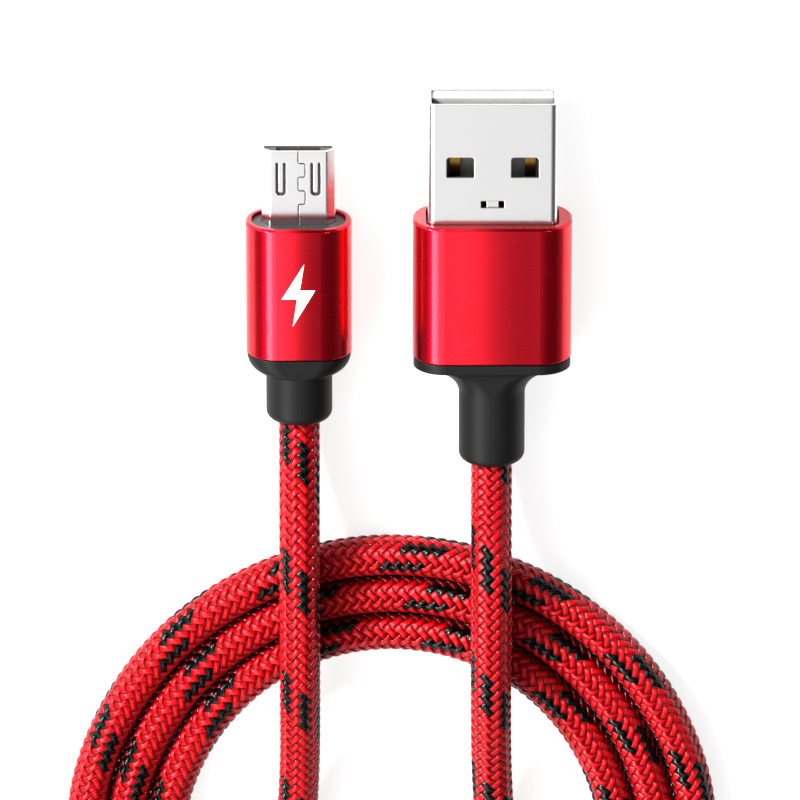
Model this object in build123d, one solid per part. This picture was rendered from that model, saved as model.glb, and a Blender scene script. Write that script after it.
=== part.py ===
from build123d import *
import math
import os

# A charging cable with a braided cord: a USB-A plug at one end, a micro-USB plug at the
# other, and the cord between them put away as an oval coil of three turns side by side.
# Everything lies on a table at z = 0. Both plugs point along +Y and lie side by side,
# and the origin is under the middle of the two. All sizes are in millimetres.

# ---- cord ----
CORD_D = 3.85           # over the braid
TURN_PITCH = 3.8        # from one turn of the coil to the next
COIL_TURNS = 3
COIL_OUTER_X = 29.5     # half width of the outermost turn, to its centre line
COIL_OUTER_Y = 31.05    # height of its near end, which is half an ellipse
COIL_STRAIGHT = 39.25   # length of the coil's two straight sides
COIL_X = -1.6           # middle of the coil
COIL_NEAR_Y = -59.95    # centre of its end nearest the plugs
COIL_EDGE_R = 1.9       # rounding of the coil solid's edges
WIRE_D = 0.6            # insulated conductors inside the plugs
WIRE_BEND_R = 0.7
WIRE_RING_R = 0.85      # where the four conductors leave the cord, from its axis
STUB_CLEARANCE = 0.05   # round the cord inside the boots and moulds
CRIMP_WALL = 0.35

# ---- both plugs ----
FIT = 0.05              # gap between pieces that slide into each other
SPIGOT_L = 1.5          # boot inside the back of the sleeve
BOOT_STEP = 0.08        # boot outline inside the sleeve outline
NECK_W = 6.2            # boot where it holds the cord
NECK_H = 6.1
NECK_CORNER_R = 2.9
NECK_END_R = 0.9
CRIMP_L = 1.5
STUB_PAST_SPIGOT = 1.2  # cord end past the boot's spigot
SLEEVE_EDGE = 0.2       # chamfer round both ends of a sleeve

# ---- USB-A plug ----
A_X = 7.8
A_BOOT_END_Y = -18.3
A_BOOT_L = 10.6
A_COLLAR_L = 0.9
A_FLARE_L = 2.9
A_SLEEVE_L = 13.7
A_SLEEVE_W = 14.85
A_SLEEVE_H = 7.0
A_SLEEVE_R = 3.0
A_SLEEVE_WALL = 0.8
A_RIM_T = 0.7           # front wall of the sleeve
A_RIM_GAP = 0.2         # between that wall and the shell
A_SHELL_W = 12.0
A_SHELL_H = 4.5
A_SHELL_R = 0.6
A_SHELL_WALL = 0.3
A_SHELL_OUT = 11.85     # shell in front of the sleeve
A_SHELL_IN = 5.5        # shell inside the sleeve
A_WINDOW_W = 2.57
A_WINDOW_L = 1.98
A_WINDOW_X = 3.0
A_WINDOW_FROM_TIP = 5.2
A_WINDOW_R = 0.3
A_CATCH_W = 2.16        # slot across the middle, behind the windows
A_CATCH_L = 0.68
A_CATCH_FROM_TIP = 9.5
A_CATCH_BRIDGE_W = 1.1  # pressed-down strip across that slot
A_CATCH_BRIDGE_DROP = 0.2
A_TONGUE_T = 1.9
A_TONGUE_RECESS = 0.15
A_BLOCK_L = 6.0         # full-height back of the tongue
A_CONTACT_W = 1.0
A_CONTACT_T = 0.25
A_CONTACT_X = [-3.5, -1.0, 1.0, 3.5]
A_CONTACT_FROM_TIP = [1.5, 2.5, 2.5, 1.5]
A_TAIL_L = 1.1          # contacts behind the shell, where the wires are soldered
A_CAVITY_W = 10.2
A_CAVITY_H = 4.0

# ---- micro-USB plug ----
M_X = -10.25
M_BOOT_END_Y = -14.2
M_BOOT_L = 6.7
M_BOWL_L = 1.9
M_SLEEVE_L = 13.15
M_SLEEVE_W = 9.9
M_SLEEVE_H = 6.4
M_SLEEVE_R = 2.9
M_SLEEVE_WALL = 0.55
M_PLATE_T = 1.0         # black plate in the front of the sleeve
M_PLATE_RECESS = 0.3
M_SHELL_W = 6.85
M_SHELL_TOP_W = 5.35    # the narrow side, which faces up
M_SHELL_H = 1.8
M_SHELL_WALL = 0.25
M_SHELL_R = 0.26
M_SHELL_OUT = 7.0
M_SHELL_IN = 5.0
M_SLIT = 0.26           # width of the two U-shaped slits in the upper side
M_SLIT_X = 1.62
M_SLIT_W = 0.95
M_SLIT_FROM_TIP = 0.95
M_SLIT_L = 3.4
M_SLIT_R = 0.3
M_SEAM = 0.09           # joint of the folded sheet, with two keys
M_KEY_W = 0.65
M_KEY_L = 1.35
M_KEY_R = 0.2
M_KEY_FROM_TIP = [1.2, 3.9]
M_FACE_RECESS = 0.1     # moulding behind the tip of the shell
M_MOUTH_W = 4.1
M_MOUTH_H = 0.85
M_MOUTH_FLOOR = 0.12    # moulding between the mouth and the shell's wide side
M_MOUTH_DEPTH = 5.0
M_PITCH = 0.65
M_CONTACTS = 5
M_CONTACT_W = 0.3
M_CONTACT_T = 0.22
M_CONTACT_RECESS = 0.35
M_TAIL_L = 0.9
M_CAVITY_W = 5.4
M_CAVITY_H = 3.9
M_LATCH_X = 2.64
M_LATCH_W = 0.56
M_LATCH_T = 0.25
M_LATCH_FROM_TIP = 1.2
M_LATCH_L = 5.4
M_LATCH_PIVOT = 0.2     # hinge line in front of the latch's back end
M_HOOK_L = 0.8
M_HOOK_FROM_TIP = 1.6
M_HOOK_OUT = 0.35       # hook below the shell
M_LATCH_GAP = 0.04
M_LATCH_SIDE_GAP = 0.08
M_LATCH_SWING = 0.5     # free height above a latch
M_HOOK_GAP = 0.12

# ---- printed charging mark on the micro-USB sleeve ----
MARK_W = 3.1
MARK_L = 6.2
MARK_T = 0.05
MARK_Y = -0.8

# ---- places worked out from the sizes above ----
A_Z = A_SLEEVE_H / 2
A_SLEEVE_BACK = A_BOOT_END_Y + A_BOOT_L
A_SLEEVE_FRONT = A_SLEEVE_BACK + A_SLEEVE_L
A_TIP = A_SLEEVE_FRONT + A_SHELL_OUT
A_SHELL_BACK = A_SLEEVE_FRONT - A_SHELL_IN
M_Z = M_SLEEVE_H / 2
M_SLEEVE_BACK = M_BOOT_END_Y + M_BOOT_L
M_SLEEVE_FRONT = M_SLEEVE_BACK + M_SLEEVE_L
M_TIP = M_SLEEVE_FRONT + M_SHELL_OUT
M_SHELL_BACK = M_SLEEVE_FRONT - M_SHELL_IN
STUB_D = CORD_D - 2 * STUB_CLEARANCE


# ---- helpers: a plug's pieces are prisms along Y, drawn on its axis ----
def place(x, z, y):
    """A drawing plane across the plug at y: its x is +X and its y is +Z."""
    return Plane((x, y, z), x_dir=(1, 0, 0), z_dir=(0, -1, 0))


def prism(face, x, z, y0, y1):
    """A face drawn on the plug's axis, as a solid from y0 to y1."""
    return extrude(place(x, z, y0) * face, amount=y0 - y1)


def bar(x0, x1, y0, y1, z0, z1):
    """A block between two corners."""
    return Pos((x0 + x1) / 2, (y0 + y1) / 2, (z0 + z1) / 2) * Box(x1 - x0, y1 - y0, z1 - z0)


def rod(x, z, y0, y1, diameter):
    """A round bar along Y."""
    return prism(Circle(diameter / 2), x, z, y0, y1)


def rounded(w, h, r):
    return RectangleRounded(w, h, min(r, w / 2 - 0.01, h / 2 - 0.01))


def swept(points, radii, diameter):
    """A round tube along straight runs joined by tangent arcs, with its path."""
    path = FilletPolyline(*points, radius=radii)
    section = Plane(path @ 0, z_dir=path % 0) * Circle(diameter / 2)
    return sweep(section, path=path), path


def flare(x, z, w, h, r, y_wide, y_neck, hollow):
    """The boot from its wide end down to its neck, along a hollow or a round quarter curve."""
    sections = []
    for angle in (0, 22.5, 45, 67.5, 90):
        sine = math.sin(math.radians(angle))
        cosine = math.cos(math.radians(angle))
        wide = 1 - cosine if hollow else cosine
        y = y_neck + (y_wide - y_neck) * sine if hollow else y_wide + (y_neck - y_wide) * sine
        section = RectangleRounded(
            NECK_W + (w - NECK_W) * wide,
            NECK_H + (h - NECK_H) * wide,
            NECK_CORNER_R + (r - NECK_CORNER_R) * wide,
        )
        sections.append(place(x, z, y) * section)
    return loft(sections)


# ---- pieces that both plugs have ----
def sleeve(x, z, y0, y1, w, h, r, wall, rim=None):
    """An aluminium tube, with a front wall where rim gives its thickness and opening."""
    body = prism(rounded(w, h, r), x, z, y0, y1)
    ends = body.faces().sort_by(Axis.Y)
    body = chamfer(ends[0].edges() + ends[-1].edges(), SLEEVE_EDGE)
    inside = rounded(w - 2 * wall, h - 2 * wall, r - wall)
    if rim is None:
        return body - prism(inside, x, z, y0 - 1, y1 + 1)
    thickness, opening = rim
    return body - prism(inside, x, z, y0 - 1, y1 - thickness) - prism(opening, x, z, y0, y1 + 1)


def neck(x, z, y0, y1):
    """The boot where it grips the cord, rounded at its end."""
    body = prism(rounded(NECK_W, NECK_H, NECK_CORNER_R), x, z, y0, y1)
    return fillet(body.faces().sort_by(Axis.Y)[0].edges(), NECK_END_R)


def spigot(x, z, y0, w, h, r, wall):
    """The boot's plug inside the back of the sleeve."""
    inset = 2 * (wall + FIT)
    return prism(rounded(w - inset, h - inset, r - wall), x, z, y0, y0 + SPIGOT_L)


def cord_stub(x, z, y0, y1):
    return rod(x, z, y0, y1, STUB_D)


def crimp(x, z, y0):
    """The ferrule that holds the cord's end."""
    inner = STUB_D + 2 * FIT
    return rod(x, z, y0, y0 + CRIMP_L, inner + 2 * CRIMP_WALL) - rod(x, z, y0 - 1, y0 + CRIMP_L + 1, inner)


def wire(x, z, tail_x, tail_z, y_tail, y_stub, turn):
    """One conductor from a contact's tail to its place in the cord."""
    reach = (y_tail - y_stub) * 0.27
    end_x = x + WIRE_RING_R * math.cos(math.radians(turn))
    end_z = z + WIRE_RING_R * math.sin(math.radians(turn))
    points = [
        (tail_x, y_tail, tail_z),
        (tail_x, y_tail - reach, tail_z),
        (end_x, y_stub + reach, end_z),
        (end_x, y_stub, end_z),
    ]
    tube, _ = swept(points, [WIRE_BEND_R] * 2, WIRE_D)
    return tube


# ---- USB-A plug ----
def a_shell():
    outer = rounded(A_SHELL_W, A_SHELL_H, A_SHELL_R)
    inner_w = A_SHELL_W - 2 * A_SHELL_WALL
    inner_h = A_SHELL_H - 2 * A_SHELL_WALL
    inner = rounded(inner_w, inner_h, A_SHELL_R - A_SHELL_WALL)
    body = prism(outer, A_X, A_Z, A_SHELL_BACK, A_TIP)
    body -= prism(inner, A_X, A_Z, A_SHELL_BACK - 1, A_TIP + 1)
    front = A_TIP - A_WINDOW_FROM_TIP
    for side in (-1, 1):
        x = A_X + side * A_WINDOW_X
        cut = bar(x - A_WINDOW_W / 2, x + A_WINDOW_W / 2, front - A_WINDOW_L, front, -1, 2 * A_Z + 1)
        corners = cut.edges().filter_by(Axis.Z).sort_by(Axis.Y)[-2:]
        body -= fillet(corners, A_WINDOW_R)
    front = A_TIP - A_CATCH_FROM_TIP
    half = A_CATCH_W / 2
    body -= bar(A_X - half, A_X + half, front - A_CATCH_L, front, A_Z, 2 * A_Z + 1)
    top = A_Z + A_SHELL_H / 2 - A_CATCH_BRIDGE_DROP
    half = A_CATCH_BRIDGE_W / 2
    lap = A_SHELL_WALL
    return body + bar(A_X - half, A_X + half, front - A_CATCH_L - lap, front + lap, top - A_SHELL_WALL, top)


def a_tongue_top():
    return A_Z - A_SHELL_H / 2 + A_SHELL_WALL + A_TONGUE_T


def a_contact(i):
    x = A_X + A_CONTACT_X[i]
    half = A_CONTACT_W / 2
    front = A_TIP - A_CONTACT_FROM_TIP[i]
    z = a_tongue_top()
    strip = bar(x - half, x + half, A_SHELL_BACK - A_TAIL_L, front, z, z + A_CONTACT_T)
    nose = strip.faces().sort_by(Axis.Y)[-1].edges().sort_by(Axis.Z)[-1]
    return chamfer(nose, A_CONTACT_T * 0.6)


def a_tongue(contacts):
    inner_w = A_SHELL_W - 2 * A_SHELL_WALL - 2 * FIT
    inner_h = A_SHELL_H - 2 * A_SHELL_WALL - 2 * FIT
    section = rounded(inner_w, inner_h, A_SHELL_R - A_SHELL_WALL)
    block = prism(section, A_X, A_Z, A_SHELL_BACK, A_TIP - A_TONGUE_RECESS)
    block -= bar(A_X - inner_w, A_X + inner_w, A_SHELL_BACK + A_BLOCK_L, A_TIP + 1,
                 a_tongue_top(), A_Z + A_SHELL_H)
    for piece in contacts:
        block -= piece
    return block


def a_inner_mould():
    y0 = A_SLEEVE_BACK + SPIGOT_L + FIT
    y1 = A_SLEEVE_FRONT - A_RIM_T
    inset = 2 * (A_SLEEVE_WALL + FIT)
    outer = rounded(A_SLEEVE_W - inset, A_SLEEVE_H - inset, A_SLEEVE_R - A_SLEEVE_WALL)
    body = prism(outer, A_X, A_Z, y0, y1)
    body -= prism(rounded(A_SHELL_W, A_SHELL_H, A_SHELL_R), A_X, A_Z, A_SHELL_BACK, y1 + 1)
    y_cavity = y0 + CRIMP_L
    body -= prism(Rectangle(A_CAVITY_W, A_CAVITY_H), A_X, A_Z, y_cavity, A_SHELL_BACK + 1)
    crimp_d = STUB_D + 2 * (CRIMP_WALL + 2 * FIT)
    return body - rod(A_X, A_Z, y0 - 1, y_cavity, crimp_d)


def a_boot():
    """Collar behind the sleeve, a hollow flare down to the neck, and the spigot."""
    w = A_SLEEVE_W - 2 * BOOT_STEP
    h = A_SLEEVE_H - 2 * BOOT_STEP
    collar_y = A_SLEEVE_BACK - A_COLLAR_L
    neck_y = collar_y - A_FLARE_L
    body = prism(rounded(w, h, A_SLEEVE_R), A_X, A_Z, collar_y, A_SLEEVE_BACK)
    body += flare(A_X, A_Z, w, h, A_SLEEVE_R, collar_y, neck_y, hollow=True)
    body += neck(A_X, A_Z, A_BOOT_END_Y, neck_y)
    body += spigot(A_X, A_Z, A_SLEEVE_BACK, A_SLEEVE_W, A_SLEEVE_H, A_SLEEVE_R, A_SLEEVE_WALL)
    return body - rod(A_X, A_Z, A_BOOT_END_Y - 1, A_SLEEVE_FRONT, CORD_D)


def a_plug():
    """Every piece of the USB-A plug, by name."""
    contacts = [a_contact(i) for i in range(len(A_CONTACT_X))]
    mould_y = A_SLEEVE_BACK + SPIGOT_L + FIT
    stub_y = A_SLEEVE_BACK + SPIGOT_L + STUB_PAST_SPIGOT
    opening = rounded(A_SHELL_W + 2 * A_RIM_GAP, A_SHELL_H + 2 * A_RIM_GAP, A_SHELL_R + A_RIM_GAP)
    pieces = {
        "usb_a_sleeve": sleeve(A_X, A_Z, A_SLEEVE_BACK, A_SLEEVE_FRONT, A_SLEEVE_W, A_SLEEVE_H,
                               A_SLEEVE_R, A_SLEEVE_WALL, rim=(A_RIM_T, opening)),
        "usb_a_shell": a_shell(),
        "usb_a_tongue": a_tongue(contacts),
        "usb_a_inner_mould": a_inner_mould(),
        "usb_a_boot": a_boot(),
        "usb_a_cord_stub": cord_stub(A_X, A_Z, A_BOOT_END_Y, stub_y),
        "usb_a_crimp": crimp(A_X, A_Z, mould_y),
    }
    tail_z = a_tongue_top() + A_CONTACT_T / 2
    tail_y = A_SHELL_BACK - A_TAIL_L
    for i, contact in enumerate(contacts):
        pieces[f"usb_a_contact_{i + 1}"] = contact
        turn = [180, 120, 60, 0][i]
        tail_x = A_X + A_CONTACT_X[i]
        pieces[f"usb_a_wire_{i + 1}"] = wire(A_X, A_Z, tail_x, tail_z, tail_y, stub_y, turn)
    return pieces


# ---- micro-USB plug ----
def m_section(inset):
    """The shell's outline: flat and wide below, with bevelled corners above."""
    half = M_SHELL_W / 2 - inset
    top = M_SHELL_TOP_W / 2 - inset * 0.7
    high = M_SHELL_H / 2 - inset
    outline = Polyline((-half, -high), (half, -high), (half, 0), (top, high), (-top, high), (-half, 0),
                       close=True)
    face = make_face(outline)
    return fillet(face.vertices(), max(M_SHELL_R - inset, 0.03))


def m_cut(face):
    """A cut through the upper side of the shell, drawn from above."""
    top = M_Z + M_SHELL_H / 2
    return extrude(Pos(0, 0, top - M_SHELL_WALL - 0.02) * face, amount=M_SHELL_WALL + 1)


def m_slits():
    """Two U-shaped slits that leave a tongue fixed at its front end."""
    front = M_TIP - M_SLIT_FROM_TIP
    back = front - M_SLIT_L
    cuts = []
    for side in (-1, 1):
        x = M_X + side * M_SLIT_X
        outer = Pos(x, back + M_SLIT_L / 2) * rounded(M_SLIT_W, M_SLIT_L, M_SLIT_R)
        inner_w = M_SLIT_W - 2 * M_SLIT
        inner = Pos(x, back + M_SLIT + M_SLIT_L / 2) * rounded(inner_w, M_SLIT_L, inner_w / 2)
        open_end = Pos(x, front) * Rectangle(2 * M_SLIT_W, 2 * M_SLIT_R)
        face = outer - inner - open_end
        for arm in (-1, 1):
            arm_x = x + arm * (M_SLIT_W - M_SLIT) / 2
            face += Pos(arm_x, front - M_SLIT_R) * Circle(M_SLIT / 2)
        cuts.append(m_cut(face))
    return cuts


def m_seam():
    """The joint of the folded sheet: a line down the middle that steps round two keys."""
    right = M_X + M_KEY_W
    corners = [(M_X, M_TIP + 1)]
    for key in M_KEY_FROM_TIP:
        front = M_TIP - key
        back = front - M_KEY_L
        corners += [(M_X, front), (right, front), (right, back), (M_X, back)]
    corners.append((M_X, M_SHELL_BACK - 1))
    path = FilletPolyline(*corners, radius=M_KEY_R)
    return m_cut(trace(path, line_width=M_SEAM))


def m_latch_box(side, side_gap):
    """The left and right edges of a latch's place in the plug."""
    x = M_X + side * M_LATCH_X
    return x - M_LATCH_W / 2 - side_gap, x + M_LATCH_W / 2 + side_gap


def m_floor():
    """The inner face of the shell's wide side."""
    return M_Z - M_SHELL_H / 2 + M_SHELL_WALL


def m_shell():
    body = prism(m_section(0), M_X, M_Z, M_SHELL_BACK, M_TIP)
    body -= prism(m_section(M_SHELL_WALL), M_X, M_Z, M_SHELL_BACK - 1, M_TIP + 1)
    hook_front = M_TIP - M_HOOK_FROM_TIP + M_HOOK_GAP
    hook_back = M_TIP - M_HOOK_FROM_TIP - M_HOOK_L - M_HOOK_GAP
    for side in (-1, 1):
        x0, x1 = m_latch_box(side, M_LATCH_SIDE_GAP)
        body -= bar(x0, x1, hook_back, hook_front, -1, m_floor() + 0.02)
    for cut in m_slits():
        body -= cut
    return body - m_seam()


def m_latch(side):
    """A spring arm with a hook that stands out below the shell."""
    x0, x1 = m_latch_box(side, 0)
    z0 = m_floor() + M_LATCH_GAP
    front = M_TIP - M_LATCH_FROM_TIP
    arm = bar(x0, x1, front - M_LATCH_L, front, z0, z0 + M_LATCH_T)
    y1 = M_TIP - M_HOOK_FROM_TIP
    y0 = y1 - M_HOOK_L
    hook = bar(x0, x1, y0, y1, M_Z - M_SHELL_H / 2 - M_HOOK_OUT, z0)
    lower = hook.faces().sort_by(Axis.Z)[0].edges().sort_by(Axis.Y)
    hook = chamfer(lower[-1], M_HOOK_OUT * 0.8)
    return arm + hook


def m_mouth_floor():
    return m_floor() + FIT + M_MOUTH_FLOOR


def m_contact(i):
    x = M_X + (i - (M_CONTACTS - 1) / 2) * M_PITCH
    z = m_mouth_floor()
    half = M_CONTACT_W / 2
    strip = bar(x - half, x + half, M_SHELL_BACK - M_TAIL_L, M_TIP - M_CONTACT_RECESS,
                z, z + M_CONTACT_T)
    nose = strip.faces().sort_by(Axis.Y)[-1].edges().sort_by(Axis.Z)[-1]
    return chamfer(nose, M_CONTACT_T * 0.6)


def m_moulding(contacts):
    """The dark moulding inside the shell: its mouth, contact slots and latch grooves."""
    front = M_TIP - M_FACE_RECESS
    body = prism(m_section(M_SHELL_WALL + FIT), M_X, M_Z, M_SHELL_BACK, front)
    floor = m_floor()
    z = m_mouth_floor()
    body -= bar(M_X - M_MOUTH_W / 2, M_X + M_MOUTH_W / 2, front - M_MOUTH_DEPTH, M_TIP, z, z + M_MOUTH_H)
    back = M_TIP - M_LATCH_FROM_TIP - M_LATCH_L - M_LATCH_GAP
    for side in (-1, 1):
        x0, x1 = m_latch_box(side, M_LATCH_SIDE_GAP)
        body -= bar(x0, x1, back, front - M_SHELL_WALL, floor - 1, floor + M_LATCH_T + M_LATCH_SWING)
    for piece in contacts:
        body -= piece
    return body


def m_inner_mould():
    y0 = M_SLEEVE_BACK + SPIGOT_L + FIT
    y1 = M_SLEEVE_FRONT - M_PLATE_RECESS - M_PLATE_T
    inset = 2 * (M_SLEEVE_WALL + FIT)
    outer = rounded(M_SLEEVE_W - inset, M_SLEEVE_H - inset, M_SLEEVE_R - M_SLEEVE_WALL)
    body = prism(outer, M_X, M_Z, y0, y1)
    body -= prism(m_section(0), M_X, M_Z, M_SHELL_BACK, y1 + 1)
    y_cavity = y0 + CRIMP_L
    body -= prism(Rectangle(M_CAVITY_W, M_CAVITY_H), M_X, M_Z, y_cavity, M_SHELL_BACK)
    crimp_d = STUB_D + 2 * (CRIMP_WALL + 2 * FIT)
    return body - rod(M_X, M_Z, y0 - 1, y_cavity, crimp_d)


def m_front_plate():
    y1 = M_SLEEVE_FRONT - M_PLATE_RECESS
    inset = 2 * (M_SLEEVE_WALL + FIT)
    outer = rounded(M_SLEEVE_W - inset, M_SLEEVE_H - inset, M_SLEEVE_R - M_SLEEVE_WALL)
    plate = prism(outer, M_X, M_Z, y1 - M_PLATE_T, y1)
    return plate - prism(m_section(-FIT), M_X, M_Z, y1 - M_PLATE_T - 1, y1 + 1)


def m_boot():
    """A round shoulder behind the sleeve, the neck and the spigot."""
    w = M_SLEEVE_W - 2 * BOOT_STEP
    h = M_SLEEVE_H - 2 * BOOT_STEP
    neck_y = M_SLEEVE_BACK - M_BOWL_L
    body = flare(M_X, M_Z, w, h, M_SLEEVE_R, M_SLEEVE_BACK, neck_y, hollow=False)
    body += neck(M_X, M_Z, M_BOOT_END_Y, neck_y)
    body += spigot(M_X, M_Z, M_SLEEVE_BACK, M_SLEEVE_W, M_SLEEVE_H, M_SLEEVE_R, M_SLEEVE_WALL)
    return body - rod(M_X, M_Z, M_BOOT_END_Y - 1, M_SLEEVE_FRONT, CORD_D)


def m_mark():
    """A plain lightning flash, the usual sign for charging, printed on the sleeve."""
    w = MARK_W / 2
    l = MARK_L / 2
    outline = Polyline((0.35 * w, l), (-w, -0.12 * l), (-0.08 * w, -0.12 * l), (-0.35 * w, -l),
                       (w, 0.16 * l), (0.08 * w, 0.16 * l), close=True)
    return extrude(Pos(M_X, MARK_Y, M_SLEEVE_H) * make_face(outline), amount=MARK_T)


def m_plug():
    """Every piece of the micro-USB plug, by name."""
    contacts = [m_contact(i) for i in range(M_CONTACTS)]
    mould_y = M_SLEEVE_BACK + SPIGOT_L + FIT
    stub_y = M_SLEEVE_BACK + SPIGOT_L + STUB_PAST_SPIGOT
    pieces = {
        "micro_sleeve": sleeve(M_X, M_Z, M_SLEEVE_BACK, M_SLEEVE_FRONT, M_SLEEVE_W, M_SLEEVE_H,
                               M_SLEEVE_R, M_SLEEVE_WALL),
        "micro_charge_mark": m_mark(),
        "micro_front_plate": m_front_plate(),
        "micro_shell": m_shell(),
        "micro_moulding": m_moulding(contacts),
        "micro_latch_left": m_latch(-1),
        "micro_latch_right": m_latch(1),
        "micro_inner_mould": m_inner_mould(),
        "micro_boot": m_boot(),
        "micro_cord_stub": cord_stub(M_X, M_Z, M_BOOT_END_Y, stub_y),
        "micro_crimp": crimp(M_X, M_Z, mould_y),
    }
    for i, contact in enumerate(contacts):
        pieces[f"micro_contact_{i + 1}"] = contact
    tail_z = m_mouth_floor() + M_CONTACT_T / 2
    tail_y = M_SHELL_BACK - M_TAIL_L
    # Contact 4, the identity pin, has no conductor.
    for i, turn, aside in ((0, 180, -0.25), (1, 240, -0.1), (2, 300, 0.1), (4, 0, 0.25)):
        tail_x = M_X + (i - (M_CONTACTS - 1) / 2) * M_PITCH + aside
        name = f"micro_wire_{i + 1}"
        pieces[name] = wire(M_X, M_Z, tail_x, tail_z, tail_y, stub_y, turn)
    return pieces


# ---- cord ----
# The route's points outside the coil. Each lead leaves its boot, goes over the coil's
# three turns in a low hump and down to the table inside the coil. The micro-USB lead
# then joins the innermost turn, and the USB-A lead crosses the coil's far end to the
# outermost turn.
MICRO_LEAD = [
    (-10.25, -14.2, 3.2),
    (-10.25, -18.6, 3.6),
    (-10.25, -25.0, 5.85),
    (-10.25, -33.0, 6.4),
    (-10.25, -41.2, 6.05),
    (-10.3, -50.4, 3.5),
    (-11.1, -62.2, 1.925),
    (-12.7, -75.6, 1.925),
    (-13.8, -89.2, 1.925),
    (-14.1, -101.6, 1.925),
    (-10.5, -112.6, 1.925),
    (-2.2, -118.3, 1.925),
    (8.3, -117.3, 1.925),
]
USB_A_LEAD = [
    (7.8, -18.3, 3.5),
    (7.8, -22.6, 3.9),
    (7.8, -27.2, 5.75),
    (7.8, -34.7, 6.45),
    (7.8, -42.4, 6.1),
    (7.9, -50.9, 3.6),
    (8.6, -62.2, 1.925),
    (10.1, -76.6, 1.925),
    (10.9, -89.0, 2.15),
    (10.7, -101.0, 4.4),
    (8.0, -112.2, 6.25),
    (0.9, -121.2, 6.3),
    (-9.4, -125.8, 6.3),
    (-20.4, -123.0, 6.3),
    (-27.9, -114.2, 6.3),
    (-30.8, -102.8, 6.05),
    (-31.15, -91.6, 3.95),
]


def arc_radii(points):
    """The radius at each corner of a route: 0.45 of the shorter run, over the tangent of half the turn."""
    radii = []
    for before, here, after in zip(points, points[1:], points[2:]):
        arriving = Vector(*here) - Vector(*before)
        leaving = Vector(*after) - Vector(*here)
        turn = arriving.get_angle(leaving)
        radii.append(0.45 * min(arriving.length, leaving.length) / math.tan(math.radians(turn / 2)))
    return radii


def lead(name, points):
    radii = arc_radii(points)
    tube, path = swept(points, radii, CORD_D)
    expected = math.pi * CORD_D ** 2 / 4 * path.length
    print(name, "length", round(path.length, 1), "volume over section x length",
          round(tube.volume / expected, 4), "radii", [round(r, 1) for r in radii])
    return tube


def oval(inset):
    """The coil's outline: half an ellipse at the near end, straight sides, half a circle."""
    half = COIL_OUTER_X - inset
    near = Pos(COIL_X, COIL_NEAR_Y) * Ellipse(half, COIL_OUTER_Y - inset)
    sides = Pos(COIL_X, COIL_NEAR_Y - COIL_STRAIGHT / 2) * Rectangle(2 * half, COIL_STRAIGHT)
    far = Pos(COIL_X, COIL_NEAR_Y - COIL_STRAIGHT) * Circle(half)
    return near + sides + far


def coil():
    """The outer shape of the coil's turns: a flat oval ring, one cord high."""
    innermost = (COIL_TURNS - 1) * TURN_PITCH
    ring = extrude(oval(-CORD_D / 2) - oval(innermost + CORD_D / 2), amount=CORD_D)
    rims = ring.faces().filter_by(Axis.Z).edges()
    return fillet(rims, COIL_EDGE_R)


def cord():
    return {
        "cord_micro_lead": lead("micro lead", MICRO_LEAD),
        "cord_usb_a_lead": lead("USB-A lead", USB_A_LEAD),
        "cord_coil": coil(),
    }


os.makedirs("parts", exist_ok=True)
for name, solid in {**a_plug(), **m_plug(), **cord()}.items():
    export_step(solid, f"parts/{name}.step")
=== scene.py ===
# Studio scene of a charging cable: a braided cord coiled flat in an oval, with a USB-A plug and
# a micro-USB plug in red anodised sleeves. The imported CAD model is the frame, and all sizes
# are in metres unless a comment says millimetres.
import math
from fnmatch import fnmatch

import bpy
import numpy as np
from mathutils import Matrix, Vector


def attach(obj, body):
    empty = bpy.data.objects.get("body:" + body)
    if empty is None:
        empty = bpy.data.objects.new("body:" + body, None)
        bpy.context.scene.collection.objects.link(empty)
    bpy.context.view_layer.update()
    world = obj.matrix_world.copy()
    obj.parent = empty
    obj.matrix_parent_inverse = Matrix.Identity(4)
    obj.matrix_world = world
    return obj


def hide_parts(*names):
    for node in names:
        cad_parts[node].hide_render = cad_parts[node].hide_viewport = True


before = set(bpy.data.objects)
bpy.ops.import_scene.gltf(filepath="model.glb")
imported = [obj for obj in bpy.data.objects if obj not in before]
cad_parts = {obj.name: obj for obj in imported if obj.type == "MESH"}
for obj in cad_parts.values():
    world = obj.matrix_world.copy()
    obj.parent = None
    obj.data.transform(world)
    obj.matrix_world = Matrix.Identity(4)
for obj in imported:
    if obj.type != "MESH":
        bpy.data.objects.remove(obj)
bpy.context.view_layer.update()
MM = 0.001

# ---- sizes of the cord and its braid ----
CORD_D = 3.85 * MM
COLUMNS = 12               # stitch columns round the cord
STITCH = 1.02 * MM         # one stitch along the cord
LEAN = 0.62                # how far a stitch leans across its column, in stitches
STEPS_ACROSS = 2           # faces across a column
STEPS_ALONG = 4            # faces along a stitch
PUSH = 0.22                # how far a stitch's crown pushes into the next column, in columns
GROOVE = 0.14 * MM         # depth between stitches
PUFF = 0.07 * MM           # crowns of the stitches outside the cord's nominal size
FULLNESS = 0.6             # power of a stitch's rise: less than 1 makes it a full pillow
DARK_YARNS = 4             # of the twelve that wind one way
FIRST_DARK = 8             # turns the dark yarns round the cord, in stitches
LINE_STEPS = 24            # steps of the cord's line between two of its control points

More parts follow.
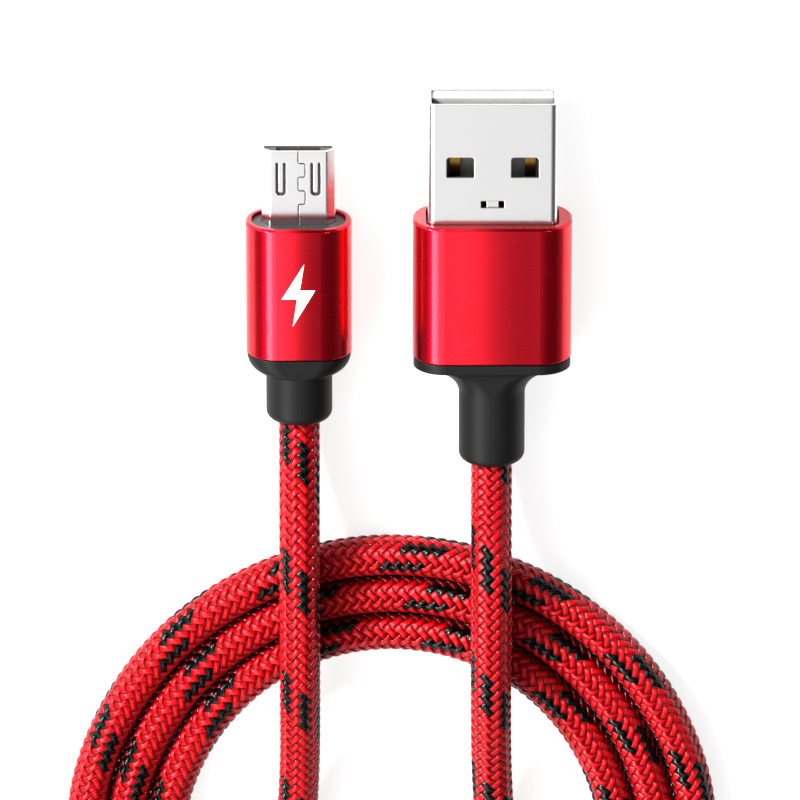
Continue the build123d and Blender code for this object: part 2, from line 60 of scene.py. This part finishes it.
# ---- the coil ----
TURN_PITCH = 3.8 * MM
COIL_TURNS = 3
COIL_OUTER_X = 29.5 * MM   # half width of the outermost turn
COIL_OUTER_Y = 31.05 * MM  # height of its near end, which is half an ellipse
COIL_STRAIGHT = 39.25 * MM
COIL_X = -1.6 * MM
COIL_NEAR_Y = -59.95 * MM
POINT_TURN = 15.0          # degrees between the points round a coil's end
END_ANGLES = [POINT_TURN * (i + 0.5) for i in range(round(180 / POINT_TURN))]
SWING_POINTS = 9           # points round the far end before a turn has moved out to the next one
SWING_START = 36.0         # where it begins to move out, in degrees round the far end
SWING_TURN = 102.0         # degrees that the move takes
SIDE_POINTS = (0.28, 0.72)  # points on a straight side, as shares of it from its near end
LAST_SIDE_POINTS = (0.28, 0.55)  # the same where the USB-A lead leaves the outermost turn

# The route's points outside the coil, in millimetres, as the CAD leads have them.
MICRO_LEAD = [
    (-10.25, -14.2, 3.2),
    (-10.25, -18.6, 3.6),
    (-10.25, -25.0, 5.85),
    (-10.25, -33.0, 6.4),
    (-10.25, -41.2, 6.05),
    (-10.3, -50.4, 3.5),
    (-11.1, -62.2, 1.925),
    (-12.7, -75.6, 1.925),
    (-13.8, -89.2, 1.925),
    (-14.1, -101.6, 1.925),
    (-10.5, -112.6, 1.925),
    (-2.2, -118.3, 1.925),
    (8.3, -117.3, 1.925),
]
USB_A_LEAD = [
    (7.8, -18.3, 3.5),
    (7.8, -22.6, 3.9),
    (7.8, -27.2, 5.75),
    (7.8, -34.7, 6.45),
    (7.8, -42.4, 6.1),
    (7.9, -50.9, 3.6),
    (8.6, -62.2, 1.925),
    (10.1, -76.6, 1.925),
    (10.9, -89.0, 2.15),
    (10.7, -101.0, 4.4),
    (8.0, -112.2, 6.25),
    (0.9, -121.2, 6.3),
    (-9.4, -125.8, 6.3),
    (-20.4, -123.0, 6.3),
    (-27.9, -114.2, 6.3),
    (-30.8, -102.8, 6.05),
    (-31.15, -91.6, 3.95),
]


# ---- node and colour helpers ----
MIX_LOW, MIX_HIGH, MIX_RESULT = 6, 7, 2  # places of a Mix node's colour sockets


def colour(hex_code):
    """An sRGB hex colour as the linear RGBA that a shader wants."""
    channels = [int(hex_code[i : i + 2], 16) / 255 for i in (1, 3, 5)]
    linear = [c / 12.92 if c <= 0.04045 else ((c + 0.055) / 1.055) ** 2.4 for c in channels]
    return (*linear, 1.0)


def new_material(name):
    """A material with its node tree and its Principled shader."""
    material = bpy.data.materials.new(name)
    material.use_nodes = True
    return material, material.node_tree, material.node_tree.nodes["Principled BSDF"]


def feed(node, inputs):
    """Gives a node its inputs, by name or place. Each is a value, a socket, or a node, which
    stands for its own first output."""
    for key, value in inputs.items():
        if isinstance(value, bpy.types.Node):
            value = value.outputs[0]
        if isinstance(value, bpy.types.NodeSocket):
            node.id_data.links.new(value, node.inputs[key])
        else:
            node.inputs[key].default_value = value


def add(tree, kind, settings=None, inputs=None):
    """One node with its settings, which are attributes, and its inputs."""
    node = tree.nodes.new("ShaderNode" + kind)
    for name, value in (settings or {}).items():
        setattr(node, name, value)
    feed(node, inputs or {})
    return node


# ---- materials ----
FILAMENTS = 9              # ridges of filament along a stitch, coarser than real ones so they show
FILAMENT_RISE = 0.008      # their height, as a share of the stitch's roundness
FILAMENT_GLOSS = 0.03      # how much the roughness changes across them
STITCH_RIM = 1.7           # square of the distance from a stitch's middle to its rim
STITCH_RISE = 0.75 * MM    # how strongly a stitch's own roundness is drawn
RIM_EASE = 0.25            # keeps a stitch from being a cliff at its rim
HOLLOW_ROUGH = 0.85        # roughness of the loose filaments at the rim
GLOSS_FROM = 0.4           # height in a stitch from which filaments lie smooth
DYE_LEAST = 0.75           # colour of the dullest stitch, as a share of the brightest
SHADE_FROM, SHADE_TO = 0.1, 0.95  # heights in a stitch where its painted shade is full, and where it ends
RECESS, OPEN = 0.25, 0.75  # openness of a place where its painted shade is full, and where there is none
BEADS = 0.09 * MM          # grain that bead blasting leaves
DYE_PATCHES = 3 * MM       # size of the patches where the anodising took a little more dye
ROLLING = 0.05 * MM        # grain across rolled sheet
ROLLING_STRETCH = 0.06     # its width as a share of its length, which lies along the plug
CROWN = 0.2 * MM           # height of the sleeves' crown
CROWN_ENDS = 0.85          # where it ends, as a share of the half width


def painted_recess_shade(material, shade_hex, reach):
    """Paints shade into a material: darkens it towards a dark colour in recesses narrower than the
    reach, where little light gets in."""
    tree = material.node_tree
    shader = tree.nodes["Principled BSDF"]
    unshaded = shader.inputs["Base Color"].links[0].from_socket
    opening = add(tree, "AmbientOcclusion", {"samples": 8}, {"Distance": reach}).outputs["AO"]
    share = add(tree, "MapRange", None, {"Value": opening, "From Min": RECESS, "From Max": OPEN})
    tint = add(tree, "Mix", {"data_type": "RGBA"},
               {0: share, MIX_LOW: colour(shade_hex), MIX_HIGH: unshaded})
    feed(shader, {"Base Color": tint.outputs[MIX_RESULT]})
    return material


def yarn_material(name, hollow_shade_hex, crown_hex, sheen_hex, shine, smooth):
    """Nylon multifilament yarn in a braid: each stitch is a small pillow with fine filaments along
    it. Painted shade darkens it from its crown to where it dives under its neighbours."""
    material, tree, shader = new_material(name)
    uv = add(tree, "UVMap", {"uv_map": "yarn"})
    # A dome over each stitch: 1 on its crown and 0 at its rim.
    cell = add(tree, "VectorMath", {"operation": "FRACTION"}, {0: uv})
    aside = add(tree, "VectorMath", {"operation": "MULTIPLY_ADD"},
                {0: cell, 1: (2, 2, 0), 2: (-1, -1, 0)})
    square = add(tree, "VectorMath", {"operation": "DOT_PRODUCT"}, {0: aside, 1: aside})
    dome = add(tree, "MapRange", None, {"Value": square.outputs["Value"], "From Max": STITCH_RIM,
                                        "To Min": 1.0, "To Max": 0.0})
    # Filaments run along lines of equal v.
    v = add(tree, "SeparateXYZ", None, {0: uv}).outputs["Y"]
    turn = add(tree, "Math", {"operation": "MULTIPLY"}, {0: v, 1: 2 * math.pi * FILAMENTS})
    filament = add(tree, "Math", {"operation": "SINE"}, {0: turn})
    # Colour: painted shade darkens each stitch from its crown to its hollow, and no two stitches
    # took the dye quite alike.
    stitch = add(tree, "VectorMath", {"operation": "FLOOR"}, {0: uv})
    chance = add(tree, "TexWhiteNoise", {"noise_dimensions": "2D"}, {"Vector": stitch})
    lit = add(tree, "MapRange", None,
              {"Value": dome, "From Min": SHADE_FROM, "From Max": SHADE_TO})
    dye = add(tree, "MapRange", None, {"Value": chance, "To Min": DYE_LEAST, "To Max": 1.0})
    shade = add(tree, "Math", {"operation": "MULTIPLY"}, {0: lit, 1: dye})
    tint = add(tree, "Mix", {"data_type": "RGBA"},
               {0: shade, MIX_LOW: colour(hollow_shade_hex), MIX_HIGH: colour(crown_hex)})
    # Height: a pillow with filament ridges.
    raised = add(tree, "Math", {"operation": "ADD"}, {0: dome, 1: RIM_EASE})
    pillow = add(tree, "Math", {"operation": "SQRT"}, {0: raised})
    height = add(tree, "Math", {"operation": "MULTIPLY_ADD"},
                 {0: filament, 1: FILAMENT_RISE, 2: pillow})
    # Gloss: stretched filaments shine on the crown, and loose ones in the hollow don't.
    gloss = add(tree, "MapRange", None,
                {"Value": dome, "From Max": GLOSS_FROM, "To Min": HOLLOW_ROUGH, "To Max": smooth})
    feed(shader, {
        "Base Color": tint.outputs[MIX_RESULT],
        "Roughness": add(tree, "Math", {"operation": "MULTIPLY_ADD"},
                         {0: filament, 1: FILAMENT_GLOSS, 2: gloss}),
        "Normal": add(tree, "Bump", None, {"Height": height, "Distance": STITCH_RISE}),
        "Specular IOR Level": shine,
        "Specular Tint": colour(sheen_hex),
    })
    # Painted shade: the yarn darkens towards a near-black red in gaps narrower than 2 mm, between
    # stitches and between turns.
    return painted_recess_shade(material, "#140000", 2.0 * MM)


def anodised():
    """Bead-blasted aluminium, anodised red: a tinted metal under a thin clear oxide, so that its
    highlights are red with a pale core. Its broad sides are a little crowned, as a tube that was
    pressed to an oval is."""
    material, tree, shader = new_material("aluminium_anodised_red")
    places = add(tree, "TexCoord")
    fine = add(tree, "TexNoise", None,
               {"Scale": 1 / BEADS, "Detail": 2.0, "Vector": places.outputs["Object"]})
    broad = add(tree, "TexNoise", None,
                {"Scale": 1 / DYE_PATCHES, "Detail": 2.0, "Vector": places.outputs["Object"]})
    across = add(tree, "SeparateXYZ", None, {0: places.outputs["Generated"]}).outputs["X"]
    turn = add(tree, "MapRange", None, {"Value": across, "To Min": -math.pi / CROWN_ENDS,
                                        "To Max": math.pi / CROWN_ENDS})
    arch = add(tree, "Math", {"operation": "COSINE"}, {0: turn})
    edges = add(tree, "Bevel", {"samples": 6}, {"Radius": 0.12 * MM})
    crown = add(tree, "Bump", None, {"Height": arch, "Distance": CROWN, "Normal": edges})
    tint = add(tree, "Mix", {"data_type": "RGBA"},
               {0: broad, MIX_LOW: colour("#d0051e"), MIX_HIGH: colour("#da0723")})
    feed(shader, {
        "Base Color": tint.outputs[MIX_RESULT],
        "Roughness": add(tree, "MapRange", None, {"Value": fine, "To Min": 0.24, "To Max": 0.32}),
        "Normal": add(tree, "Bump", None, {"Height": fine, "Strength": 0.5,
                                           "Distance": 0.004 * MM, "Normal": crown}),
        "Coat Normal": crown,
        "Metallic": 1.0,
        "Coat Weight": 0.35,
        "Coat Roughness": 0.09,
    })
    return material


def plated(name, hex_code, smooth, rough, edge):
    """Stamped steel sheet with a bright nickel plate: nearly a mirror, with a rolling grain that
    barely shows. The edge's radius is in millimetres."""
    material, tree, shader = new_material(name)
    coords = add(tree, "TexCoord").outputs["Object"]
    stretched = add(tree, "Mapping", None, {"Vector": coords, "Scale": (1, ROLLING_STRETCH, 1)})
    streaks = add(tree, "TexNoise", None,
                  {"Scale": 1 / ROLLING, "Detail": 3.0, "Vector": stretched})
    edges = add(tree, "Bevel", {"samples": 6}, {"Radius": edge * MM})
    feed(shader, {
        "Base Color": colour(hex_code),
        "Roughness": add(tree, "MapRange", None,
                         {"Value": streaks, "To Min": smooth, "To Max": rough}),
        "Normal": add(tree, "Bump", None, {"Height": streaks, "Strength": 0.4,
                                           "Distance": 0.001 * MM, "Normal": edges}),
        "Metallic": 1.0,
    })
    return material


def grained(name, hexes, roughness, grain, edge=0.0, rise=0.0, metallic=0.0, shine=0.5):
    """A surface with fine grains from its mould or its plating, between two colours and two
    roughnesses. Grain, edge radius and rise are in millimetres."""
    material, tree, shader = new_material(name)
    coords = add(tree, "TexCoord").outputs["Object"]
    fine = add(tree, "TexNoise", None,
               {"Scale": 1 / (grain * MM), "Detail": 2.0, "Vector": coords})
    tint = add(tree, "Mix", {"data_type": "RGBA"},
               {0: fine, MIX_LOW: colour(hexes[0]), MIX_HIGH: colour(hexes[1])})
    feed(shader, {
        "Base Color": tint.outputs[MIX_RESULT],
        "Roughness": add(tree, "MapRange", None,
                         {"Value": fine, "To Min": roughness[0], "To Max": roughness[1]}),
        "Metallic": metallic,
        "Specular IOR Level": shine,
    })
    if edge:
        feed(shader, {"Normal": add(tree, "Bevel", {"samples": 6}, {"Radius": edge * MM})})
    if rise:
        edges = shader.inputs["Normal"].links[0].from_socket
        feed(shader, {"Normal": add(tree, "Bump", None, {
            "Height": fine, "Strength": 0.6, "Distance": rise * MM, "Normal": edges})})
    return material


def dress(material, *names):
    """Puts a material on CAD nodes. A star in a name stands for anything."""
    for node_name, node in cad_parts.items():
        if any(fnmatch(node_name, name) for name in names):
            node.data.materials.clear()
            node.data.materials.append(material)


# Sleeves: the same anodised aluminium at both ends.
dress(anodised(), "usb_a_sleeve", "micro_sleeve")
# Plug shells: folded steel sheet with a bright nickel plate.
dress(plated("steel_nickel_plated", "#ececec", 0.17, 0.24, 0.1), "usb_a_shell", "micro_shell")
# Latches: tempered spring steel, plated a little duller than the shell that they come out of.
dress(plated("steel_spring_plated", "#cfcdc9", 0.238, 0.336, 0.04), "micro_latch_*")
# Contacts: a hard gold flash over nickel, warm and bright, with painted shade that turns them brown
# deep in the plugs.
gold = grained("gold_plated_contact", ("#d9a441", "#efc069"), (0.16, 0.28), 0.4, 0.05, metallic=1.0)
dress(painted_recess_shade(gold, "#6a4a12", 4 * MM), "usb_a_contact_*", "micro_contact_*")
# Tongue: glass-filled nylon in its natural white, with a dull gloss and painted shade that greys it
# deep in the shell.
nylon = grained("nylon_white", ("#b4b4b2", "#bebebc"), (0.357, 0.483), 0.12, 0.08, 0.004)
dress(painted_recess_shade(nylon, "#5a5a5a", 7 * MM), "usb_a_tongue")
# Moulding in the micro-USB mouth: liquid-crystal polymer, dark grey and smooth.
dress(grained("lcp_dark_grey", ("#2b2b2c", "#353536"), (0.34, 0.46), 0.1, 0.05, 0.004),
      "micro_moulding")
# Front plate: moulded ABS, black with a low gloss.
dress(grained("abs_black", ("#121214", "#18181a"), (0.323, 0.437), 0.12, 0.1, 0.005),
      "micro_front_plate")
# Boots: soft elastomer from a finely eroded mould, a satin black with only broad, weak highlights.
dress(grained("elastomer_black", ("#060606", "#0b0b0b"), (0.425, 0.575), 0.11, 0.15, 0.006,
              shine=0.16), "usb_a_boot", "micro_boot")
# Inner moulds: polyethylene shot round the solder joints, black and waxy.
dress(grained("polyethylene_black", ("#151515", "#1d1d1d"), (0.425, 0.575), 0.3, 0.1, 0.01),
      "usb_a_inner_mould", "micro_inner_mould")
# Cord inside the boots: its vinyl jacket, a matt grey, with the braid cut back.
dress(grained("vinyl_jacket_grey", ("#3c3c3e", "#47474a"), (0.425, 0.575), 0.3, 0.1, 0.01),
      "usb_a_cord_stub", "micro_cord_stub")
# Crimps: rings of copper foil that hold the shield, pinkish and unevenly bright.
dress(grained("copper_crimped", ("#b8694a", "#cf8462"), (0.24, 0.36), 0.2, metallic=1.0),
      "usb_a_crimp", "micro_crimp")
# Wires: drawn vinyl insulation with a soft gloss, in the usual colours by contact.
WIRE_COLOURS = {
    1: ("#b01015", "#c2181c"),
    2: ("#d9d9d6", "#e8e8e5"),
    3: ("#1d7a35", "#268c40"),
    4: ("#101011", "#18181a"),
    5: ("#101011", "#18181a"),
}
for number, hexes in WIRE_COLOURS.items():
    dress(grained(f"vinyl_wire_{number}", hexes, (0.34, 0.46), 0.15, 0.05, 0.004),
          f"*_wire_{number}")
# Mark: pad-printing ink, a thin, even white without gloss.
dress(grained("ink_white", ("#f2f2f0", "#ffffff"), (0.425, 0.575), 0.06, 0.02, 0.002),
      "micro_charge_mark")


# ---- cord ----
def coil_points():
    """The coil's turns from the inside out, counter-clockwise seen from above. Each turn goes up
    the right side, round the near end, down the left side, and moves out one cord's width as it
    goes round the far end, where the first one is joined by the micro-USB lead."""
    points = []
    # The line cuts the corners between its points, so the points stand that much further out.
    stand_out = 1 / math.cos(math.radians(POINT_TURN / 2))
    far_y = COIL_NEAR_Y - COIL_STRAIGHT

    def bend(middle_y, degrees, wide, high):
        x = COIL_X + wide * stand_out * math.cos(math.radians(degrees))
        y = middle_y + high * stand_out * math.sin(math.radians(degrees))
        points.append((x, y, CORD_D / 2))

    def straight(x, shares):
        for share in shares:
            points.append((x, COIL_NEAR_Y - COIL_STRAIGHT * share, CORD_D / 2))

    for turns_left in reversed(range(COIL_TURNS)):
        wide = COIL_OUTER_X - turns_left * TURN_PITCH
        high = COIL_OUTER_Y - turns_left * TURN_PITCH
        for angle in END_ANGLES[SWING_POINTS:]:
            bend(far_y, 180 + angle, wide, wide)
        straight(COIL_X + wide, SIDE_POINTS[::-1])
        for angle in END_ANGLES:
            bend(COIL_NEAR_Y, angle, wide, high)
        if turns_left == 0:
            straight(COIL_X - wide, LAST_SIDE_POINTS)
            break
        straight(COIL_X - wide, SIDE_POINTS)
        for angle in END_ANGLES[:SWING_POINTS]:
            t = min(1, max(0, (angle - SWING_START) / SWING_TURN))
            out = wide + TURN_PITCH * t * t * (3 - 2 * t)
            bend(far_y, 180 + angle, out, out)
    return points


def cord_route():
    """The cord's control points, from the micro-USB boot round the coil to the USB-A boot."""
    out, back = ([Vector(p) * MM for p in lead] for lead in (MICRO_LEAD, USB_A_LEAD))
    return out + [Vector(p) for p in coil_points()] + back[::-1]


def spline_line(points):
    """The points that the smooth line through the route's control points follows."""
    curve = bpy.data.curves.new("cord_line", "CURVE")
    curve.dimensions = "3D"
    curve.resolution_u = LINE_STEPS
    spline = curve.splines.new("NURBS")
    spline.points.add(len(points) - 1)
    for point, place in zip(spline.points, points):
        point.co = (*place, 1.0)
    spline.order_u = 3
    spline.use_endpoint_u = True
    holder = bpy.data.objects.new("cord_line", curve)
    bpy.context.collection.objects.link(holder)
    bpy.context.view_layer.update()
    mesh = bpy.data.meshes.new_from_object(holder)
    line = np.empty(len(mesh.vertices) * 3)
    mesh.vertices.foreach_get("co", line)
    bpy.data.objects.remove(holder)
    return line.reshape(-1, 3)


def distances(line):
    """How far along a line each of its points is."""
    return np.concatenate([[0], np.cumsum(np.linalg.norm(np.diff(line, axis=0), axis=1))])


def sampled(values, at, places):
    """Rows of values, known at some distances, as they are at other ones."""
    return np.stack([np.interp(places, at, column) for column in values.T], axis=1)


def along(line, places):
    """Points of a line at distances from its start."""
    return sampled(line, distances(line), places)


def carried_frames(points):
    """Two directions across the line, carried along it without twist."""
    ways = np.gradient(points, axis=0)
    ways /= np.linalg.norm(ways, axis=1)[:, None]
    sides = np.empty_like(ways)
    side = np.array([1.0, 0.0, 0.0])
    for i, way in enumerate(ways):
        side = side - way * side.dot(way)
        side /= np.linalg.norm(side)
        sides[i] = side
    return sides, np.cross(ways, sides)


def braid_corners(line, length):
    """The braid's corners, in rows along the cord, with the middles of its two ends after them.
    The rows lean back across one column and forward across the next, as the yarns do."""
    steps = round(length * STEPS_ALONG / STITCH) + 1
    row = np.arange(-STEPS_ALONG, steps)[:, None]
    corner = np.arange(COLUMNS * STEPS_ACROSS)
    leans_back = corner // STEPS_ACROSS % 2 == 0
    part = corner % STEPS_ACROSS / STEPS_ACROSS
    lean = np.where(leans_back, -part, part - 1) * LEAN
    place = np.clip((row / STEPS_ALONG + lean + 0.5) * STITCH, 0, length).ravel()
    # Each stitch is widest at its crown, where it pushes into the groove beside it.
    push = np.cos(2 * math.pi * row / STEPS_ALONG) * np.where(leans_back, PUSH, -PUSH)
    columns = corner / STEPS_ACROSS + np.where(part == 0, push, 0)
    theta = (columns * 2 * math.pi / COLUMNS).reshape(-1, 1)
    # It is low in the grooves, between stitches and between columns.
    phase = (row + np.where(leans_back, 0, STEPS_ALONG // 2)) % STEPS_ALONG / STEPS_ALONG
    rise = np.where(part == 0, 0, np.sin(math.pi * phase) ** FULLNESS)
    radius = (CORD_D / 2 + PUFF - GROOVE * (1 - rise)).reshape(-1, 1)

    at = np.linspace(0, length, steps * 2)
    points = along(line, at)
    sides, ups = (sampled(ways, at, place) for ways in carried_frames(points))
    across = sides * np.cos(theta) + ups * np.sin(theta)
    return np.concatenate([sampled(points, at, place) + across * radius, points[[0, -1]]]), len(row)


def braid_faces(rows):
    """The braid's four-sided faces, those that close its ends, where each of the first lies in
    the yarn's map, and which of them a dark yarn shows in."""
    sections = COLUMNS * STEPS_ACROSS
    row, corner = np.divmod(np.arange((rows - 1) * sections), sections)
    start = row * sections
    ahead = (corner + 1) % sections
    quads = np.stack([start + corner, start + ahead, start + sections + ahead,
                      start + sections + corner], axis=1)
    ring = np.arange(sections)
    next_ring = (ring + 1) % sections
    last, middle = (rows - 1) * sections, np.full(sections, rows * sections)
    caps = np.concatenate([
        np.stack([next_ring, ring, middle], axis=1),
        np.stack([last + ring, last + next_ring, middle + 1], axis=1),
    ])
    # Stitches of the columns that lean forward start half a stitch off the others.
    column = corner // STEPS_ACROSS
    leans_back = column % 2 == 0
    step = row - STEPS_ALONG + np.where(leans_back, 0, STEPS_ALONG // 2)
    yarn = (step // STEPS_ALONG + column + FIRST_DARK) % COLUMNS
    dark = leans_back & (yarn < DARK_YARNS)
    # u counts columns and v counts stitches.
    low = np.stack([corner / STEPS_ACROSS, step / STEPS_ALONG], axis=1)
    sides = np.array([(0, 0), (1, 0), (1, 1), (0, 1)]) / (STEPS_ACROSS, STEPS_ALONG)
    return quads, caps, low[:, None] + sides, dark


def braid(line, length):
    """The cord's braid, as one closed tube. Each stitch is a leaning block of faces that bulges
    between its grooves."""
    corners, rows = braid_corners(line, length)
    quads, caps, places, dark = braid_faces(rows)
    mesh = bpy.data.meshes.new("cord")
    mesh.from_pydata(corners.tolist(), [], quads.tolist() + caps.tolist())
    slots = np.concatenate([dark.astype(int), np.zeros(len(caps), int)])
    mesh.polygons.foreach_set("material_index", slots)
    mesh.polygons.foreach_set("use_smooth", np.ones(len(slots), bool))
    uv = np.concatenate([places.ravel(), np.full(caps.size * 2, 0.5)])
    mesh.uv_layers.new(name="yarn").data.foreach_set("uv", uv)
    mesh.update()
    mesh.validate()
    piece = bpy.data.objects.new("cord", mesh)
    bpy.context.collection.objects.link(piece)
    return piece


line = spline_line(cord_route())
cord_length = distances(line)[-1]
cord = braid(line, cord_length)
# Each yarn's first colour is the painted shade of its hollows, and its second is its own colour on
# the crowns.
cord.data.materials.append(
    yarn_material("nylon_yarn_red", "#3a0002", "#b80008", "#ff7780", 0.9, 0.3))
cord.data.materials.append(
    yarn_material("nylon_yarn_black", "#000000", "#000000", "#b8d4cc", 0.35, 0.2))
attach(cord, "cable")
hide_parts("cord_coil", "cord_micro_lead", "cord_usb_a_lead")


# ---- camera, floor and light ----
AIM = Vector((-0.8, -13.06, 2.0)) * MM
TILT = math.radians(22)
REACH = 900 * MM
VIEW_WIDTH = 75.19 * MM
SENSOR = 36                # millimetres
LAMP_AIM = Vector((0, -0.03, 0))
LAMP_SIDE = 0.1

# Brightness of the studio across the object, by the angle from straight up towards +X: a strip
# light on the left, a softer one overhead, and black flags beside them.
STUDIO = [
    (-90, 0.3), (-76, 0.2), (-64, 0.06), (-53, 0.1), (-47, 14.0), (-38, 14.0), (-30, 4.3),
    (-20, 2.8), (-12, 1.8), (-5, 1.25), (0, 0.88), (7, 0.62), (16, 0.34), (27, 0.1), (42, 0.05),
    (60, 0.06), (90, 0.4),
]
STUDIO_PEAK = 14.0
# Share of it that is left by the direction along the object, from -1 past the coil to 1 past
# the plugs.
OVERHEAD = [(-1.0, 0.25), (-0.85, 0.3), (-0.72, 1.0), (-0.1, 1.0), (0.06, 0.35), (1.0, 0.25)]


def set_camera():
    """Looks down at the plugs from the side that they point to."""
    data = bpy.data.cameras.new("camera")
    data.sensor_width = SENSOR
    data.lens = SENSOR * REACH / VIEW_WIDTH
    data.clip_start = 0.01
    camera = bpy.data.objects.new("camera", data)
    camera.location = AIM + Vector((0, math.sin(TILT), math.cos(TILT))) * REACH
    camera.rotation_euler = (-TILT, 0, 0)
    bpy.context.collection.objects.link(camera)
    bpy.context.scene.camera = camera


def light_table():
    """A white floor that glows, as under a product on a light table."""
    bpy.ops.object.select_all(action="DESELECT")
    bpy.ops.mesh.primitive_plane_add(size=3, location=(0, 0, 0))
    plane = bpy.context.object
    plane.name = "floor"
    material, _, shader = new_material("floor_light_table")
    feed(shader, {
        "Base Color": colour("#8c8c8c"),
        "Roughness": 0.9,
        "Emission Color": colour("#ffffff"),
        "Emission Strength": 0.8,
    })
    plane.data.materials.append(material)


def softbox(name, place, power):
    """A square lamp that points at the plugs."""
    data = bpy.data.lights.new(name, "AREA")
    data.shape = "RECTANGLE"
    data.size = data.size_y = LAMP_SIDE
    data.energy = power
    lamp = bpy.data.objects.new(name, data)
    lamp.location = place
    lamp.rotation_euler = (LAMP_AIM - Vector(place)).to_track_quat("-Z", "Y").to_euler()
    bpy.context.collection.objects.link(lamp)


def studio():
    """The lights' brightness by direction: strips that run along the object and fade towards
    its ends."""
    world = bpy.data.worlds.new("studio")
    world.use_nodes = True
    tree = world.node_tree
    way = add(tree, "TexCoord").outputs["Generated"]
    x, y, z = add(tree, "SeparateXYZ", None, {0: way}).outputs
    angle = add(tree, "Math", {"operation": "ARCTAN2"}, {0: x, 1: z})
    lights = []
    for value, reach, stops, peak in (
        (angle, math.pi / 2, [(degrees / 90, light) for degrees, light in STUDIO], STUDIO_PEAK),
        (y, 1.0, OVERHEAD, 1.0),
    ):
        share = add(tree, "MapRange", None, {"Value": value, "From Min": -reach, "From Max": reach})
        ramp = add(tree, "ValToRGB", None, {"Fac": share})
        steps = ramp.color_ramp.elements
        for k, (at, light) in enumerate(stops):
            place = (at + 1) / 2
            step = steps[k] if k < 2 else steps.new(place)  # a new ramp has two steps
            step.position = place
            step.color = (light / peak,) * 3 + (1.0,)
        lights.append(ramp)
    both = add(tree, "Math", {"operation": "MULTIPLY"}, {0: lights[0], 1: lights[1]})
    feed(tree.nodes["Background"], {"Color": both, "Strength": STUDIO_PEAK})
    bpy.context.scene.world = world


set_camera()
light_table()
softbox("key", (-0.4, 0.3, 0.28), 12.0)
softbox("fill", (0.3, 0.05, 0.4), 0.5)
studio()
bpy.context.scene.view_settings.view_transform = "Standard"
